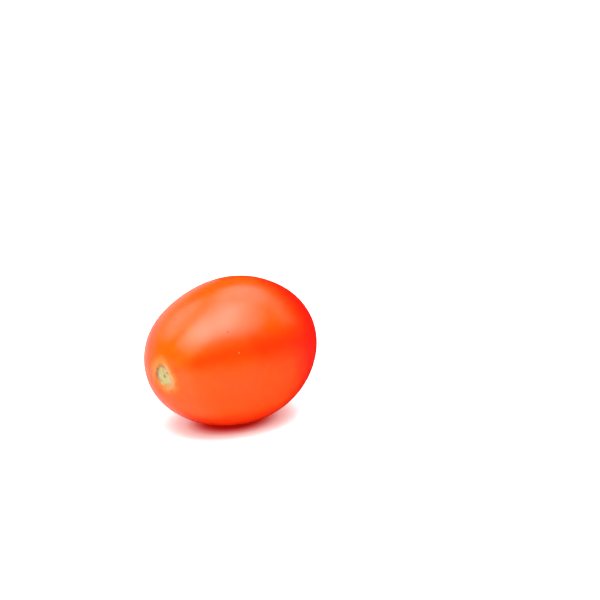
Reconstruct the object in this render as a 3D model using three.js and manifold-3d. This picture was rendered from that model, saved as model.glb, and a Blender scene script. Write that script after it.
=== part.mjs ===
// A plum tomato, picked and lying on its side on a small flat spot.
//
// Millimetres, +Z up. The axis of the fruit runs along X, with the stem scar at -X and the blossom
// scar at +X. The origin is in the middle of the fruit's bounding box, at its bottom.
// The fruit grew as one piece, so it is one solid.

import * as THREE from "three";
import { mergeVertices } from "three/addons/utils/BufferGeometryUtils.js";
import Module from "manifold-3d";

// ---- driving dimensions ----

const LENGTH = 70; // of the smooth outline, before its ends are pressed in and drawn out
const DIAMETER = 52; // of the widest section
const ROUNDNESS = 0.95; // power of the outline: 1 is an ellipse, and less gives fuller ends
const STEM_TAPER = 0.03; // how much slimmer the stem half is than the blossom half
const END_TAPER = 0.028; // how much slimmer both ends are than the middle

const LOBES = 3; // seed chambers, which the outside shows as faint lobes
const LOBE_HEIGHT = 0.25; // of a lobe above the mean radius

const DIMPLE_DEPTH = 1.1; // of the hollow around the stem scar
const DIMPLE_RADIUS = 6.5; // where the hollow has lost about two thirds of its depth
const SCAR_RADIUS = 4.1; // of the corky disc that the stem leaves
const SCAR_DEPTH = 0.55; // of the disc below the skin around it
const SCAR_EDGE = 0.8; // width of the wall around the disc

const NUB_RADIUS = 1.6; // of the small point at the blossom end
const NUB_HEIGHT = 0.5;

const REST_TILT = 1.5; // degrees that the stem end hangs below level
const FLAT_DEPTH = 0.4; // how far the flat spot cuts into the round underside

// ---- mesh density ----

const RINGS = 60; // from end to end
const SEGMENTS = 64; // around the axis
const END_CROWDING = 0.8; // 0 spreads the rings evenly, and towards 1 they crowd at the ends

// ---- outline ----

// 0 beyond the edge of a disc, 1 within it, and a smooth rise over the width of its wall.
function insideDisc(distance, edge, wall) {
  return 1 - THREE.MathUtils.smoothstep(distance, edge - wall, edge);
}

// How far the stem end is pressed in at a distance from the axis.
function stemHollow(distance) {
  const dimple = DIMPLE_DEPTH * Math.exp(-((distance / DIMPLE_RADIUS) ** 2));
  return dimple + SCAR_DEPTH * insideDisc(distance, SCAR_RADIUS, SCAR_EDGE);
}

// How far the blossom end stands out at a distance from the axis.
function blossomNub(distance) {
  return NUB_HEIGHT * Math.exp(-((distance / NUB_RADIUS) ** 2));
}

// A point of the half outline: 0 is the stem end and PI is the blossom end.
function outlinePoint(angle) {
  const fullness = 1 - STEM_TAPER * Math.cos(angle) - END_TAPER * Math.cos(2 * angle);
  const roundness = Math.max(Math.sin(angle), 0) ** ROUNDNESS;
  const distance = (0.5 * DIAMETER * roundness * fullness) / (1 + END_TAPER);
  const along = -0.5 * LENGTH * Math.cos(angle);
  const carved = angle < Math.PI / 2 ? stemHollow(distance) : blossomNub(distance);
  return new THREE.Vector2(distance, along + carved);
}

function outline() {
  const points = [];
  for (let i = 0; i <= RINGS; i++) {
    const even = (2 * Math.PI * i) / RINGS;
    points.push(outlinePoint(0.5 * (even - END_CROWDING * Math.sin(even))));
  }
  points[0].x = 0;
  points[RINGS].x = 0;
  return points;
}

// ---- solids ----

// The vertices that neighbouring faces share become one, and faces left without width go.
function closedGeometry(geometry) {
  geometry.deleteAttribute("normal");
  geometry.deleteAttribute("uv");
  const merged = mergeVertices(geometry);
  const corners = merged.index.array;
  const kept = [];
  for (let i = 0; i < corners.length; i += 3) {
    const [a, b, c] = corners.slice(i, i + 3);
    if (a !== b && b !== c && c !== a) kept.push(a, b, c);
  }
  merged.setIndex(kept);
  return merged;
}

// Three faint lobes, the first along the top, so that the fruit lies on the flatter side between
// the other two.
function addLobes(geometry) {
  const position = geometry.getAttribute("position");
  for (let i = 0; i < position.count; i++) {
    const y = position.getY(i);
    const z = position.getZ(i);
    const distance = Math.hypot(y, z);
    const fromTop = Math.atan2(y, z);
    const share = distance / (0.5 * DIAMETER);
    const raised = LOBE_HEIGHT * share * share * Math.cos(LOBES * fromTop);
    const scale = distance > 0 ? 1 + raised / distance : 1;
    position.setY(i, y * scale);
    position.setZ(i, z * scale);
  }
}

function fruitGeometry() {
  const lathe = new THREE.LatheGeometry(outline(), SEGMENTS);
  lathe.rotateZ(-Math.PI / 2); // the lathe turns about Y, and the fruit lies along X
  const geometry = closedGeometry(lathe);
  addLobes(geometry);
  geometry.rotateY(-THREE.MathUtils.degToRad(REST_TILT));
  geometry.computeBoundingBox();
  return geometry;
}

// A slab that covers everything under the flat spot.
function slabUnder(box) {
  const size = 2 * LENGTH;
  const slab = new THREE.BoxGeometry(size, size, size);
  slab.translate(0, 0, box.min.z + FLAT_DEPTH - size / 2);
  return closedGeometry(slab);
}

const wasm = await Module();
wasm.setup();

function toManifold(geometry) {
  return new wasm.Manifold(
    new wasm.Mesh({
      numProp: 3,
      vertProperties: new Float32Array(geometry.getAttribute("position").array),
      triVerts: new Uint32Array(geometry.index.array),
    }),
  );
}

function toGeometry(solid) {
  const mesh = solid.getMesh();
  const geometry = new THREE.BufferGeometry();
  geometry.setAttribute("position", new THREE.BufferAttribute(mesh.vertProperties, 3));
  geometry.setIndex(new THREE.BufferAttribute(mesh.triVerts, 1));
  return geometry;
}

// ---- the part ----

function makeTomato() {
  const fruit = fruitGeometry();
  const solid = toManifold(fruit).subtract(toManifold(slabUnder(fruit.boundingBox)));
  const geometry = toGeometry(solid);
  geometry.computeBoundingBox();
  const middle = geometry.boundingBox.getCenter(new THREE.Vector3());
  geometry.translate(-middle.x, -middle.y, -geometry.boundingBox.min.z);
  geometry.computeVertexNormals();
  const skin = new THREE.MeshStandardMaterial({ color: 0xf9431a, roughness: 0.22, metalness: 0 });
  const mesh = new THREE.Mesh(geometry, skin);
  mesh.name = "tomato";
  return mesh;
}

const group = new THREE.Group();
group.add(makeTomato());

export default group;
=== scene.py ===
"""A plum tomato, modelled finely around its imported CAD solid, on a pale studio floor.

Metres, +Z up. The fruit's axis runs along X: the stem scar is at -X and the blossom scar at +X.
The skin is one closed mesh on a polar grid, with a pole in each scar. Its rings crowd where the
detail is. What the eye should see as shape is in the mesh: the lobes, swells and waves of the skin,
the fuller shoulder, the hollow with its corky scar and its pits, the blossom point and the flat
spot that it lies on.
"""

import math

import bpy
import numpy as np
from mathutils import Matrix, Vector, noise


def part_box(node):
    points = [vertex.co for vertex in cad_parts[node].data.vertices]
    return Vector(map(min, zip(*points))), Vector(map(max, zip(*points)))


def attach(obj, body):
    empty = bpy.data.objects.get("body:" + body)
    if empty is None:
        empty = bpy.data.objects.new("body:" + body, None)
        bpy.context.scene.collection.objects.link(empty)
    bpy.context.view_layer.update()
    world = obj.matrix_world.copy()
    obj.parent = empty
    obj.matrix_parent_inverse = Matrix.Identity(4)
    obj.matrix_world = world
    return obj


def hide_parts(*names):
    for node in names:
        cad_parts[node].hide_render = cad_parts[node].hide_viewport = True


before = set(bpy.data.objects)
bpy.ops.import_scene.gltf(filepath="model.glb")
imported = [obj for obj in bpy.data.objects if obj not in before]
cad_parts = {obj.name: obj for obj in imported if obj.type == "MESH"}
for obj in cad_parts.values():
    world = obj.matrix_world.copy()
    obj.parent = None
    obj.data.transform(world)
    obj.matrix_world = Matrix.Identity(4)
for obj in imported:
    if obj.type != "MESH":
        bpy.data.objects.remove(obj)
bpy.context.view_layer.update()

MM = 0.001

# ---- driving dimensions, from the CAD box ----

LOW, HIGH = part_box("tomato")
LENGTH = HIGH.x - LOW.x
DIAMETER = HIGH.y - LOW.y
RADIUS = DIAMETER / 2

# ---- the fruit's form ----

ROUNDNESS = 0.95  # power of the outline: 1 is an ellipse, and less gives fuller ends
STEM_TAPER = 0.03  # how much slimmer the stem half is than the blossom half
END_TAPER = 0.028  # how much slimmer both ends are than the middle
REST_TILT = math.radians(1.5)  # how far the stem end hangs below level
FLAT_DEPTH = 0.4 * MM  # how far the flat spot cuts into the round underside
FLAT_BLEND = 0.15 * MM  # how softly the skin meets it

LOBES = 3  # seed chambers, which the outside shows as faint lobes
LOBE_HEIGHT = 0.25 * MM
SWELL_HEIGHT = 0.42 * MM  # of the uneven growth
SWELL_SIZE = 26 * MM
WAVE_HEIGHT = 0.035 * MM
WAVE_SIZE = 7 * MM

SHOULDER_HEIGHT = 0.75 * MM  # of the fuller shoulder on one side of the stem end
SHOULDER_TURN = math.radians(70)  # from the top towards +Y
SHOULDER_WIDTH = 37  # half its width, in degrees around the axis
SHOULDER_ALONG = 0.2  # of its middle, as a share of the length from the stem end
SHOULDER_REACH = 0.16  # half its length, as such a share
FURROW_DEPTH = 0.07 * MM

DIMPLE_DEPTH = 1.1 * MM  # of the hollow around the stem scar
DIMPLE_RADIUS = 6.5 * MM

SCAR_RADIUS = 4.0 * MM  # of the corky disc
SCAR_OFFSET = 0.3 * MM  # of its middle from the axis, towards +Y
SCAR_DEPTH = 0.6 * MM  # of the disc below the skin around it
SCAR_EDGE = 1.0 * MM  # width of the wall around the disc
LIP_TURN = math.radians(-82)  # where the healed lip around the disc stands highest
# the brown rim is partly brown cork and partly painted shade on the hollow's far wall
RUST_FROM_LIP = 2.4  # radians from there to where the brown rim is strongest

NUB_RADIUS = 1.6 * MM  # of the small point at the blossom end
NUB_HEIGHT = 0.5 * MM
DOT_RADIUS = 0.55 * MM  # of the dry dot on its tip
DOT_DEPTH = 0.16 * MM

# ---- mesh density ----

SEGMENTS = 320  # around the axis
STEM_RINGS = 76  # in the scar and its rim
STEM_ZONE = 6.0 * MM
BODY_RINGS = 178
BLOSSOM_RINGS = 22  # on the blossom point
BLOSSOM_ZONE = 2.4 * MM
POLE_ANGLE = 1e-4  # of the outline at each pole, a hair off the axis

# ---- the picture ----

CAMERA_AZIMUTH = math.radians(-46.9)
CAMERA_ELEVATION = math.radians(17.4)
CAMERA_DISTANCE = 0.75
LENS = 127.6  # mm, on a sensor 36 mm wide
SENSOR = 36.0
LEFT_OF_MIDDLE = 0.1136  # of the fruit's middle in the picture, as a share of its width
BELOW_MIDDLE = 0.0817


# ---- numbers that the mesh is made from ----


def smoothstep(value, low, high):
    """0 below low, 1 above high, and a smooth rise between them."""
    share = np.clip((value - low) / (high - low), 0, 1)
    return share * share * (3 - 2 * share)


def noise_at(points, size, seed):
    """Smooth noise from -1 to 1 that changes over about the given size."""
    shift = Vector((seed * 7.31, seed * 3.77, seed * 5.13))
    return np.array([noise.noise(Vector(p) / size + shift) for p in points])


def bell(distance, width):
    """1 at no distance, and soon 0 beyond the width."""
    return np.exp(-((distance / width) ** 2))


def bell_around(degrees, width):
    """A bell of an angle that may have gone round more than once."""
    return bell((degrees + 180) % 360 - 180, width)


def off_axis(points):
    return np.hypot(points[:, 1], points[:, 2])


def outline(angle):
    """Distance along the axis and from it, at an angle that is 0 at the stem end and pi at the other."""
    fullness = 1 - STEM_TAPER * np.cos(angle) - END_TAPER * np.cos(2 * angle)
    away = RADIUS * np.sin(angle) ** ROUNDNESS * fullness / (1 + END_TAPER)
    return -0.5 * LENGTH * np.cos(angle), away


def ring_angles():
    """The outline's angle at each ring: close together in both scars and even between them."""
    fine = np.linspace(0, math.pi, 20001)
    along, away = outline(fine)
    steps = np.hypot(np.diff(along), np.diff(away))
    arc = np.concatenate([[0], np.cumsum(steps)])
    stem = np.linspace(0, STEM_ZONE, STEM_RINGS, endpoint=False)
    body_start, body_end = STEM_ZONE, arc[-1] - BLOSSOM_ZONE
    share = np.linspace(0, 1, BODY_RINGS, endpoint=False)
    body = body_start + (body_end - body_start) * share
    blossom = np.linspace(body_end, arc[-1], BLOSSOM_RINGS)
    return np.interp(np.concatenate([stem, body, blossom])[1:-1], arc, fine)


def polar_grid():
    """Flat lists of the outline angle and the turn about the axis, ring by ring, without the poles."""
    angles = ring_angles()
    turns = np.linspace(0, 2 * math.pi, SEGMENTS, endpoint=False)
    return np.repeat(angles, SEGMENTS), np.tile(turns, len(angles))


def surface(angle, turn):
    """Points and outward normals of the smooth fruit. A turn of 0 is the top, and pi/2 is +Y."""
    along, away = outline(angle)
    step = 1e-5
    ahead, behind = np.minimum(angle + step, math.pi), np.maximum(angle - step, 0)
    (along_ahead, away_ahead), (along_behind, away_behind) = outline(ahead), outline(behind)
    rise, spread = along_ahead - along_behind, away_ahead - away_behind
    length = np.hypot(rise, spread)
    normal_x, normal_away = -spread / length, rise / length
    points = np.stack([along, away * np.sin(turn), away * np.cos(turn)], 1)
    normals = np.stack([normal_x, normal_away * np.sin(turn), normal_away * np.cos(turn)], 1)
    return points, normals


# ---- relief ----


def body_relief(points, turn):
    """The lobes, the fuller shoulder, and the swells and waves that no grown skin is without."""
    away = off_axis(points)
    lobes = LOBE_HEIGHT * (away / RADIUS) ** 2 * np.cos(LOBES * turn)
    swells = SWELL_HEIGHT * noise_at(points, SWELL_SIZE, 13)
    waves = WAVE_HEIGHT * noise_at(points, WAVE_SIZE, 2)
    along = points[:, 0] / LENGTH + 0.5
    shoulder = bell_around(np.degrees(turn - SHOULDER_TURN), SHOULDER_WIDTH)
    shoulder *= bell(along - SHOULDER_ALONG, SHOULDER_REACH)
    shoulder *= SHOULDER_HEIGHT * smoothstep(away, 6 * MM, 14 * MM)
    return lobes + swells + waves + shoulder


def furrow_relief(away, turn):
    """Shallow furrows that run out from the stem scar and die away on the shoulders."""
    furrows = np.cos(5 * turn + 0.8) + 0.5 * np.cos(8 * turn + 2.1)
    reach = smoothstep(away, 4.2 * MM, 6.5 * MM) * (1 - smoothstep(away, 8 * MM, 17 * MM))
    return FURROW_DEPTH * furrows * reach


def scar_distance(points, turn):
    """Distance from the middle of the scar, in radii of its ragged, slanting oval outline."""
    away = np.hypot(points[:, 1] - SCAR_OFFSET, points[:, 2])
    oval = 1 + 0.115 * np.cos(2 * turn - 1.55) + 0.05 * np.cos(3 * turn + 0.1)
    ragged = 0.06 * noise_at(points, 1.5 * MM, 7)
    return away / (SCAR_RADIUS * (oval + ragged))


PITS = (  # y, z, radius and depth of the pits that the sap strands leave
    (0.25, -0.25, 0.65, 0.40),
    (-0.80, 1.15, 0.45, 0.26),
    (-1.35, 1.50, 0.42, 0.28),
    (-1.95, 1.05, 0.36, 0.20),
    (0.95, 1.65, 0.48, 0.18),
    (1.35, -1.45, 0.34, 0.10),
    (-1.30, -1.35, 0.34, 0.12),
)
FLECKS = (  # y, z, radius and strength of the brown flecks on the rim
    (3.0, -1.6, 0.5, 0.5),
    (-0.8, -3.4, 0.55, 0.55),
    (-2.45, -3.3, 0.35, 0.4),
    (-3.5, -2.1, 0.4, 0.45),
)


def dots(points, table):
    """The strongest of the round marks in a table, at each point."""
    mask = np.zeros(len(points))
    for y, z, radius, strength in table:
        distance = np.hypot(points[:, 1] - y * MM, points[:, 2] - z * MM)
        mask = np.maximum(mask, strength * bell(distance, radius * MM))
    return mask


def scar_lip_and_painted_highlight(points, distance, turn):
    """Height share of the healed lip, which stands up along one side of the disc, and of its pale
    colour, which is partly painted highlight.
    """
    side = smoothstep(np.cos(turn - LIP_TURN), -0.1, 0.75)
    return bell(distance - 1.08, 0.17) * side * (0.9 + 0.3 * noise_at(points, 1.3 * MM, 5))


def scar_rust_and_painted_shade(points, distance, turn):
    """Strength of the brown rim, most of it across from the lip. It is partly brown cork and flecks and
    partly painted shade on the wall of the hollow that faces away from the light.
    """
    side = 0.2 + 0.8 * smoothstep(np.cos(turn - LIP_TURN - RUST_FROM_LIP), -0.15, 0.6)
    rim = bell(distance - 0.86, 0.13) * side * (0.85 + 0.4 * noise_at(points, 0.8 * MM, 6))
    return np.clip(np.maximum(rim, dots(points, FLECKS)), 0, 1)


def scar_relief(points, distance, turn):
    """The sunken corky disc, its pits and its lip."""
    inside = 1 - smoothstep(distance, 1 - SCAR_EDGE / SCAR_RADIUS, 1)
    cork = 0.10 * MM * noise_at(points, 0.9 * MM, 3) + 0.05 * MM * noise_at(points, 0.35 * MM, 4)
    lip = (0.06 + 0.26 * scar_lip_and_painted_highlight(points, distance, turn)) * MM * bell(distance - 1.1, 0.15)
    return inside * (cork - SCAR_DEPTH - MM * dots(points, PITS)) + lip


def stem_relief(points, turn):
    """The hollow, the scar in it and the furrows around it."""
    away = off_axis(points)
    distance = scar_distance(points, turn)
    near = points[:, 0] < 0
    relief = -DIMPLE_DEPTH * bell(away, DIMPLE_RADIUS) + scar_relief(points, distance, turn)
    return near * (relief + furrow_relief(away, turn))


def blossom_relief(points, turn):
    """The small point, the creases around it and the dry dot on its tip."""
    away = off_axis(points)
    point = NUB_HEIGHT * bell(away, NUB_RADIUS)
    creases = 0.05 * MM * np.cos(6 * turn + 1.0) * bell(away - 1.5 * MM, 0.9 * MM)
    dot = -DOT_DEPTH * bell(away, DOT_RADIUS)
    return (points[:, 0] > 0) * (point + creases + dot)


STREAKS = (  # turn at the stem end, how far it goes round by the other end, half width, strength
    # the first streak is partly a real red streak and partly painted shade where the skin shows no gloss
    (-62, -20, 13, 0.66),
    (46, 14, 12, 0.5),
    (158, -20, 10, 0.6),
)


def streak_and_painted_shade_mask(turn, along):
    """Strength of the redder streaks that run along the fruit, of which the first is partly painted
    shade. Angles are in degrees.
    """
    mask = np.zeros(len(turn))
    for start, drift, width, strength in STREAKS:
        off = np.degrees(turn) - start - drift * along
        mask += strength * bell_around(off, width)
    return mask * (0.75 * smoothstep(along, 0.0, 0.09) + 0.25 * smoothstep(along, 0.28, 0.38))


# ---- the fruit's mesh ----


def lay_down(points):
    """Tilts the fruit to its rest, presses the flat spot and fits it to the CAD box."""
    sin, cos = math.sin(REST_TILT), math.cos(REST_TILT)
    x, z = points[:, 0].copy(), points[:, 2].copy()
    points[:, 0] = x * cos - z * sin
    points[:, 2] = x * sin + z * cos
    above = points[:, 2] - (points[:, 2].min() + FLAT_DEPTH)
    points[:, 2] = 0.5 * (above + np.hypot(above, FLAT_BLEND))
    low, high = points.min(0), points.max(0)
    return np.array(LOW) + (points - low) / (high - low) * np.array(HIGH - LOW)


def grid_faces(rings, poles):
    """Quads between the rings, and a fan of triangles about each pole, all facing out."""
    faces = []
    for ring in range(rings - 1):
        for i in range(SEGMENTS):
            here, beyond = ring * SEGMENTS, (ring + 1) * SEGMENTS
            after = (i + 1) % SEGMENTS
            faces.append((here + i, beyond + i, beyond + after, here + after))
    last = (rings - 1) * SEGMENTS
    for i in range(SEGMENTS):
        after = (i + 1) % SEGMENTS
        faces.append((poles[0], i, after))
        faces.append((poles[1], last + after, last + i))
    return faces


def write_attribute(mesh, name, values):
    """Gives each point of the mesh a number that the material can read."""
    attribute = mesh.attributes.new(name, "FLOAT", "POINT")
    attribute.data.foreach_set("value", values.astype(np.float32))


def make_tomato():
    """The fruit's mesh, with the rings first and the two poles last."""
    angle, turn = polar_grid()
    angle = np.concatenate([angle, [POLE_ANGLE, math.pi - POLE_ANGLE]])
    turn = np.concatenate([turn, [0, 0]])
    base, normals = surface(angle, turn)
    relief = body_relief(base, turn) + stem_relief(base, turn) + blossom_relief(base, turn)
    points = lay_down(base + normals * relief[:, None])
    poles = (len(points) - 2, len(points) - 1)
    faces = grid_faces(poles[0] // SEGMENTS, poles)
    mesh = bpy.data.meshes.new("tomato_skin")
    mesh.from_pydata(points.tolist(), [], faces)
    mesh.shade_smooth()
    at_stem = (base[:, 0] < 0).astype(float)
    distance = np.where(at_stem > 0, scar_distance(base, turn), 10)
    write_attribute(mesh, "scar_distance", distance)
    write_attribute(mesh, "scar_pits", at_stem * dots(base, PITS))
    write_attribute(mesh, "scar_lip_and_painted_highlight", scar_lip_and_painted_highlight(base, distance, turn))
    write_attribute(mesh, "scar_rust_and_painted_shade", at_stem * scar_rust_and_painted_shade(base, distance, turn))
    along = (base[:, 0] + LENGTH / 2) / LENGTH
    write_attribute(mesh, "along", along)
    write_attribute(mesh, "up", base[:, 2] / RADIUS)
    write_attribute(mesh, "streak_and_painted_shade", streak_and_painted_shade_mask(turn, along))
    blossom_distance = np.where(at_stem > 0, RADIUS / MM, off_axis(base) / MM)
    write_attribute(mesh, "blossom_distance", blossom_distance)
    piece = bpy.data.objects.new("tomato_fruit", mesh)
    bpy.context.scene.collection.objects.link(piece)
    return piece


# ---- material ----


class Nodes:
    """Short calls for the shader nodes that the materials and the world are made of."""

    def __init__(self, owner, output="ShaderNodeOutputMaterial"):
        owner.use_nodes = True
        self.tree = owner.node_tree
        self.tree.nodes.clear()
        self.output = self.tree.nodes.new(output)

    def plug(self, socket, value):
        """Links another node's output to a socket, or sets the socket's own value."""
        if isinstance(value, bpy.types.NodeSocket):
            self.tree.links.new(value, socket)
        else:
            socket.default_value = value

    def math(self, operation, *values, clamp=False):
        node = self.tree.nodes.new("ShaderNodeMath")
        node.operation = operation
        node.use_clamp = clamp
        for socket, value in zip(node.inputs, values):
            self.plug(socket, value)
        return node.outputs[0]

    def attribute(self, name):
        node = self.tree.nodes.new("ShaderNodeAttribute")
        node.attribute_name = name
        return node.outputs["Fac"]

    def place(self, stretch=(1, 1, 1)):
        """Where the shaded point is in the object, in millimetres, drawn out along some axes."""
        coordinates = self.tree.nodes.new("ShaderNodeTexCoord")
        mapping = self.tree.nodes.new("ShaderNodeMapping")
        mapping.inputs["Scale"].default_value = [1 / (MM * part) for part in stretch]
        self.plug(mapping.inputs["Vector"], coordinates.outputs["Object"])
        return mapping.outputs[0]

    def length(self, vector):
        node = self.tree.nodes.new("ShaderNodeVectorMath")
        node.operation = "LENGTH"
        self.plug(node.inputs[0], vector)
        return node.outputs["Value"]

    def noise(self, size, detail=2.0, stretch=(1, 1, 1), seed=0.0):
        """Noise from 0 to 1 that changes over about the given size in millimetres."""
        node = self.tree.nodes.new("ShaderNodeTexNoise")
        node.noise_dimensions = "4D"
        self.plug(node.inputs["Vector"], self.place(stretch))
        node.inputs["W"].default_value = seed
        node.inputs["Scale"].default_value = 1 / size
        node.inputs["Detail"].default_value = detail
        return node.outputs["Fac"]

    def wobble(self, strength, noise):
        """Noise moved to lie around 0 and scaled by a strength."""
        return self.math("MULTIPLY", self.math("SUBTRACT", noise, 0.5), strength)

    def near(self, point, radius):
        """1 at a point of the object, and 0 from a radius on. Both are in millimetres."""
        node = self.tree.nodes.new("ShaderNodeVectorMath")
        node.operation = "DISTANCE"
        self.plug(node.inputs[0], self.place())
        self.plug(node.inputs[1], point)
        share = self.math("DIVIDE", node.outputs["Value"], radius, clamp=True)
        return self.ramp(share, (0.3, 1), (1, 0))

    def ramp(self, value, *stops, shape="EASE"):
        """A number from 0 to 1 through a smooth scale of (place, colour or grey) stops."""
        node = self.tree.nodes.new("ShaderNodeValToRGB")
        node.color_ramp.interpolation = shape
        elements = node.color_ramp.elements
        while len(elements) < len(stops):
            elements.new(0.5)
        for element, (place, colour) in zip(elements, stops):
            element.position = place
            grey = isinstance(colour, (int, float))
            element.color = (colour, colour, colour, 1) if grey else (*colour, 1)
        self.plug(node.inputs["Fac"], value)
        return node.outputs["Color"]

    def mix(self, share, first, second, blend="MIX"):
        node = self.tree.nodes.new("ShaderNodeMix")
        node.data_type = "RGBA"
        node.blend_type = blend
        self.plug(node.inputs["Factor"], share)
        for socket, colour in zip((node.inputs["A"], node.inputs["B"]), (first, second)):
            self.plug(socket, (*colour, 1) if isinstance(colour, tuple) else colour)
        return node.outputs["Result"]

    def bump(self, height, depth):
        """A bump of the given depth in millimetres, for heights from 0 to 1."""
        node = self.tree.nodes.new("ShaderNodeBump")
        node.inputs["Distance"].default_value = depth * MM
        self.plug(node.inputs["Height"], height)
        return node.outputs["Normal"]

    def shader(self, **values):
        node = self.tree.nodes.new("ShaderNodeBsdfPrincipled")
        for name, value in values.items():
            self.plug(node.inputs[name.replace("_", " ")], value)
        self.tree.links.new(node.outputs[0], self.output.inputs["Surface"])
        return node


# Linear colours
ORANGE = (0.90, 0.105, 0.0010)  # skin of the stem shoulders
ORANGE_RED = (0.90, 0.080, 0.0008)  # of most of the fruit
MID_RED = (0.90, 0.072, 0.0006)  # where it starts to redden
RED = (0.89, 0.013, 0.0005)
# the blossom end's deep red is partly its own colour and partly painted shade and red bounce light of
# the fruit beside it
DEEP_RED = (0.88, 0.004, 0.0004)  # of the blossom end
GOLD = (0.93, 0.26, 0.035)  # ring around the scar
# peach of the lip: partly its own pale colour, partly painted highlight
PEACH = (0.93, 0.32, 0.15)  # the healed lip
CORK = (0.51, 0.41, 0.19)
CORK_GREEN = (0.44, 0.36, 0.135)
CORK_BROWN = (0.30, 0.11, 0.035)
PIT_OLIVE = (0.24, 0.19, 0.06)
DRY_TAN = (0.36, 0.13, 0.035)  # dot on the blossom point

SHADE_RED = (0.1, 0.004, 0.002, 1)  # what stands in the gloss for the other fruit and the foot

SPECKS = (  # middle and radius in millimetres, and colour, of the marks on the side
    ((-18.8, -15.5, 39.8), 0.75, (0.30, 0.03, 0.008)),
    ((-18.1, -20.0, 33.1), 0.45, (0.92, 0.16, 0.06)),
)


def skin_colour(n):
    """Redder towards the blossom end and in the streaks, partly their own colour and partly painted
    shade, redder underneath as painted shade, and with a faint mottle.
    """
    drift = n.wobble(0.10, n.noise(14, 2, seed=1))
    fine = n.wobble(0.05, n.noise(2.4, 3, stretch=(5, 1, 1), seed=2))
    # painted shade: the lower the skin lies, the redder it is made
    painted_low_shade = n.math("MULTIPLY", n.attribute("up"), -0.05)
    steady = n.math("ADD", n.attribute("along"), painted_low_shade)
    ripeness_and_painted_shade = n.math("ADD", steady, n.math("ADD", drift, fine), clamp=True)
    # the stops to deep red towards the blossom end are partly painted shade
    stops = ((0, ORANGE), (0.12, ORANGE_RED), (0.54, MID_RED), (0.67, RED), (0.80, DEEP_RED))
    colour = n.ramp(ripeness_and_painted_shade, *stops, shape="B_SPLINE")
    # the streaks are mixed towards deep red: real streaks, the first partly painted shade
    colour = n.mix(n.attribute("streak_and_painted_shade"), colour, DEEP_RED)
    # painted shade underneath: mixed towards deep red, most where the fruit meets the floor
    down = n.math("MULTIPLY_ADD", n.attribute("up"), -0.5, 0.5)
    painted_underside_shade = n.ramp(down, (0.35, 0), (0.5, 0.12), (0.75, 0.14), (0.86, 0.6))
    colour = n.mix(painted_underside_shade, colour, DEEP_RED)
    mottle = n.ramp(n.noise(2.6, 4, seed=3), (0.35, 0.93), (0.65, 1.0))
    return n.mix(1.0, colour, mottle, blend="MULTIPLY")


def scar_colour(n):
    """Cork that turns greenish and brown in places, with olive pits."""
    base = n.mix(n.ramp(n.noise(1.3, 3, seed=4), (0.4, 0), (0.6, 1)), CORK, CORK_GREEN)
    flecks = n.ramp(n.noise(0.45, 3, seed=5), (0.58, 0), (0.72, 1))
    base = n.mix(n.math("MULTIPLY", flecks, 0.3), base, CORK_BROWN)
    pits = n.ramp(n.attribute("scar_pits"), (0.03, 0), (0.3, 1))
    return n.mix(pits, base, PIT_OLIVE)


def make_skin():
    """The skin with its halo, lip and specks, the corky scar, and the tip of the blossom end."""
    material = bpy.data.materials.new("tomato_skin")
    n = Nodes(material)
    distance = n.attribute("scar_distance")
    in_scar = n.ramp(distance, (0.86, 1), (0.96, 0))
    halo = n.ramp(n.math("DIVIDE", distance, 3.0), (0.34, 1), (0.62, 0))
    patchy = n.math("MULTIPLY", halo, n.ramp(n.noise(4, 2, seed=8), (0.38, 0.35), (0.58, 0.75)))
    colour = n.mix(patchy, skin_colour(n), GOLD)
    # partly painted highlight: the lip is paled towards peach
    colour = n.mix(n.attribute("scar_lip_and_painted_highlight"), colour, PEACH)
    colour = n.mix(in_scar, colour, scar_colour(n))
    # brown rim: partly brown cork, partly painted shade
    colour = n.mix(n.attribute("scar_rust_and_painted_shade"), colour, CORK_BROWN)
    tip = n.math("DIVIDE", n.attribute("blossom_distance"), 4.0, clamp=True)
    tip_ring = n.ramp(tip, (0.1, 0), (0.22, 0.3), (0.6, 0))
    colour = n.mix(tip_ring, colour, ORANGE)
    colour = n.mix(n.ramp(tip, (0.1, 0.9), (0.19, 0)), colour, DRY_TAN)
    for point, radius, shade in SPECKS:
        colour = n.mix(n.near(point, radius), colour, shade)
    waxy = n.ramp(n.noise(5, 3, seed=6), (0.3, 0.2), (0.7, 0.25))
    rough = n.mix(in_scar, waxy, (0.8, 0.8, 0.8))
    peel = n.bump(n.noise(0.8, 2, seed=7), 0.006)
    n.shader(
        Base_Color=colour,
        Roughness=rough,
        Normal=peel,
        IOR=1.45,
        Subsurface_Weight=0.35,
        Subsurface_Radius=(1.0, 0.25, 0.12),
        Subsurface_Scale=3 * MM,
    )
    return material


# ---- studio ----

DISC_SIDES = 96
FLOOR_RADIUS = 3.0
FLOOR_DEPTH = 0.04 * MM  # below the flat spot, so that no two surfaces share a plane
FOOT_RADIUS = 20 * MM  # half the width of the red shade around the fruit's foot
FOOT_DEPTH = 0.02 * MM
TABLE_REACH = 40.0  # mm from the middle that the table's scales of colour and glow span
CAMERA_WHITE = 1.05  # of the background: a little over 1, so that it is pure white


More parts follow.
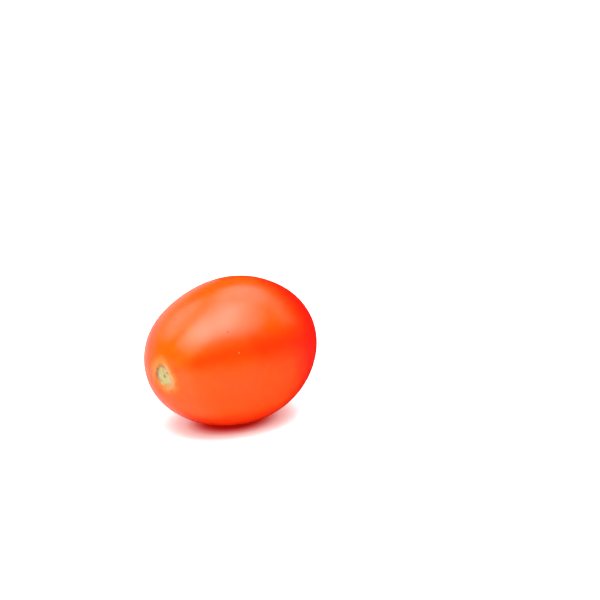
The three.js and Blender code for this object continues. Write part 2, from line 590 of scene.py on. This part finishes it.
def make_white_with_painted_shadow(name):
    """A matt white table that glows faintly, with a painted shadow and painted red bounce light around
    the fruit's foot: its colour and glow turn red and dimmer there.
    """
    material = bpy.data.materials.new(name)
    n = Nodes(material)
    away = n.length(n.place(stretch=(LENGTH / DIAMETER, 1, 1)))
    away = n.math("DIVIDE", away, TABLE_REACH)
    white = (0.75, 0.75, 0.75)
    # painted shadow and painted red bounce light around the foot, in both the glow and the colour
    painted_red_shadow = ((0.12, (0.15, 0, 0)), (0.21, (0.18, 0.005, 0.004)))
    glow = n.ramp(away, *painted_red_shadow, (0.38, (0.37, 0.25, 0.235)), (0.6, (0.5, 0.5, 0.5)))
    albedo_and_painted_shadow = n.ramp(away, (0.17, (0.9, 0.005, 0)), (0.26, (0.9, 0.12, 0.1)), (0.37, white))
    n.shader(
        Base_Color=albedo_and_painted_shadow,
        Roughness=0.5,
        Specular_IOR_Level=0.0,
        Emission_Color=glow,
        Emission_Strength=1.0,
    )
    material.cycles.emission_sampling = "NONE"  # so that the gloss doesn't find the hidden floor
    return material


def make_disc(name, radius, depth):
    """A level disc, a little below what the fruit stands on."""
    mesh = bpy.data.meshes.new(name)
    turns = [2 * math.pi * i / DISC_SIDES for i in range(DISC_SIDES)]
    rim = [(radius * math.cos(turn), radius * math.sin(turn), 0) for turn in turns]
    mesh.from_pydata(rim, [], [tuple(range(DISC_SIDES))])
    disc = bpy.data.objects.new(name, mesh)
    disc.location.z = LOW.z - depth
    bpy.context.scene.collection.objects.link(disc)
    return disc


def show_in_gloss_only(piece, fade=None):
    """Makes a piece dark red, and seen only in the gloss of the skin. With a fade, it goes clear
    towards that distance from its middle, in millimetres."""
    material = bpy.data.materials.new("shade_red")
    n = Nodes(material)
    shader = n.shader(Base_Color=SHADE_RED, Roughness=1.0)
    if fade:
        share = n.math("DIVIDE", n.length(n.place()), fade)
        n.plug(shader.inputs["Alpha"], n.ramp(share, (0.55, 1), (1, 0)))
    piece.data.materials.append(material)
    piece.visible_camera = False
    piece.visible_diffuse = False
    piece.visible_shadow = False


def make_floor():
    """A white floor that the gloss doesn't show, because it would pale the deep red underside.
    Around the fruit's foot the gloss shows a dark red disc instead: painted shade of the foot in the
    reflection."""
    floor = make_disc("studio_floor", FLOOR_RADIUS, FLOOR_DEPTH)
    floor.data.materials.append(make_white_with_painted_shadow("studio_white_painted_shadow"))
    floor.visible_glossy = False
    # painted shade: a dark red disc that the gloss shows as the fruit's shade on the floor
    foot = make_disc("studio_foot_painted_shade", FOOT_RADIUS, FOOT_DEPTH)
    foot.scale.x = LENGTH / DIAMETER
    show_in_gloss_only(foot, fade=FOOT_RADIUS / MM)


def view_directions():
    """Unit vectors from the fruit to the camera, to the picture's right and to its top."""
    a, e = CAMERA_AZIMUTH, CAMERA_ELEVATION
    back = Vector((math.sin(a) * math.cos(e), -math.cos(a) * math.cos(e), math.sin(e)))
    right = Vector((math.cos(a), math.sin(a), 0))
    return back, right, back.cross(right)


def make_camera():
    """A long lens at the photograph's viewing angle, aimed so that the fruit stands in its place."""
    back, right, top = view_directions()
    middle = (LOW + HIGH) / 2
    width = CAMERA_DISTANCE * SENSOR / LENS  # of what the picture shows at the fruit
    aim = middle + right * (LEFT_OF_MIDDLE * width) + top * (BELOW_MIDDLE * width)
    data = bpy.data.cameras.new("camera")
    data.lens = LENS
    data.sensor_width = SENSOR
    data.clip_start = 0.01
    data.clip_end = 20
    camera = bpy.data.objects.new("camera", data)
    camera.location = middle + back * CAMERA_DISTANCE
    camera.rotation_euler = (aim - camera.location).to_track_quat("-Z", "Y").to_euler()
    bpy.context.scene.collection.objects.link(camera)
    bpy.context.scene.camera = camera


# Azimuth to the right of the camera, elevation, half angles of the core and the edge, radiance
GLOWS = (
    (0, 76, 5, 35, 4.16),  # softbox overhead
    (-34, 57, 4, 31, 3.3),  # its left end
    (66, 63, 6, 30, 3.2),  # its right end
    (152, 61, 4, 30, 2.56),  # lit ceiling behind it
    (119, 32, 4, 18, 0.72),  # gap below it
    (-122, 46, 4, 28, 2.08),  # window behind, to the left
    (-147, -12, 15, 46, 0.72),  # white wall and table behind it
    (-75, -45, 20, 60, 0.56),  # white table on the left
    (-38, -12, 3, 28, 0.48),  # white table in front, to the left
)

FILL_DISTANCE = 0.9
FILLS = (  # azimuth, elevation, size in metres, radiance
    (-10, 62, 1.0, 1.1),
    (120, 30, 0.7, 0.4),
    (-120, 30, 0.7, 0.4),
)


def direction(azimuth, elevation):
    """Unit vector at an azimuth in degrees to the right of the camera, and an elevation."""
    back, right, top = view_directions()
    level = Vector((back.x, back.y, 0)).normalized()
    a, e = math.radians(azimuth), math.radians(elevation)
    return (level * math.cos(a) + right * math.sin(a)) * math.cos(e) + Vector((0, 0, math.sin(e)))


def glow_radiance(n, toward, azimuth, elevation, core, edge, radiance):
    """Radiance of a round glow, seen in a direction, which fades from its core to its edge."""
    dot = n.tree.nodes.new("ShaderNodeVectorMath")
    dot.operation = "DOT_PRODUCT"
    n.plug(dot.inputs[0], toward)
    n.plug(dot.inputs[1], direction(azimuth, elevation))
    rise = n.tree.nodes.new("ShaderNodeMapRange")
    rise.interpolation_type = "SMOOTHSTEP"
    n.plug(rise.inputs["Value"], dot.outputs["Value"])
    n.plug(rise.inputs["From Min"], math.cos(math.radians(edge)))
    n.plug(rise.inputs["From Max"], math.cos(math.radians(core)))
    n.plug(rise.inputs["To Max"], radiance)
    return rise.outputs["Result"]


def make_world():
    """Soft glows in a dark room. The camera itself sees plain white."""
    world = bpy.data.worlds.new("studio")
    bpy.context.scene.world = world
    n = Nodes(world, output="ShaderNodeOutputWorld")
    toward = n.tree.nodes.new("ShaderNodeTexCoord").outputs["Generated"]
    total = 0.0
    for glow in GLOWS:
        total = n.math("ADD", glow_radiance(n, toward, *glow), total)
    pick = n.tree.nodes.new("ShaderNodeMix")
    path = n.tree.nodes.new("ShaderNodeLightPath")
    n.plug(pick.inputs["Factor"], path.outputs["Is Camera Ray"])
    n.plug(pick.inputs["A"], total)
    n.plug(pick.inputs["B"], CAMERA_WHITE)
    background = n.tree.nodes.new("ShaderNodeBackground")
    n.plug(background.inputs["Color"], (1, 1, 1, 1))
    n.plug(background.inputs["Strength"], pick.outputs["Result"])
    n.plug(n.output.inputs["Surface"], background.outputs[0])


def make_fill():
    """Wide soft lights that the gloss doesn't show: one overhead and two behind."""
    for azimuth, elevation, size, radiance in FILLS:
        toward = direction(azimuth, elevation)
        data = bpy.data.lights.new("fill_light", "AREA")
        data.size = size
        data.energy = radiance * math.pi * size**2
        light = bpy.data.objects.new("fill_light", data)
        light.location = toward * FILL_DISTANCE
        light.rotation_euler = toward.to_track_quat("Z", "Y").to_euler()
        light.visible_camera = False
        light.visible_glossy = False
        bpy.context.scene.collection.objects.link(light)


FLAG_RADIUS = 46 * MM  # of the curve that the card stands on
FLAG_START = 98  # azimuth of its near end
FLAG_TURN = 92  # degrees from there to its far end
FLAG_HEIGHT = 60 * MM  # of its near end
FLAG_RISE = 20 * MM  # how much higher its far end is
FLAG_STEPS = 24


def make_flag():
    """A curved dark red card close behind the fruit, on the right, where other fruit would be. Only
    the gloss of the skin shows it."""
    points, faces = [], []
    for i in range(FLAG_STEPS + 1):
        share = i / FLAG_STEPS
        foot = direction(FLAG_START + FLAG_TURN * share, 0) * FLAG_RADIUS
        points += [foot, foot + Vector((0, 0, FLAG_HEIGHT + FLAG_RISE * share))]
    for i in range(FLAG_STEPS):
        faces.append((2 * i, 2 * i + 2, 2 * i + 3, 2 * i + 1))
    mesh = bpy.data.meshes.new("studio_flag")
    mesh.from_pydata(points, [], faces)
    flag = bpy.data.objects.new("studio_flag", mesh)
    show_in_gloss_only(flag)
    bpy.context.scene.collection.objects.link(flag)


# ---- the scene ----

make_camera()
make_world()
make_floor()
make_fill()
make_flag()

tomato = make_tomato()
tomato.data.materials.append(make_skin())
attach(tomato, "root")
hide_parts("tomato")

bpy.context.scene.view_settings.view_transform = "Standard"
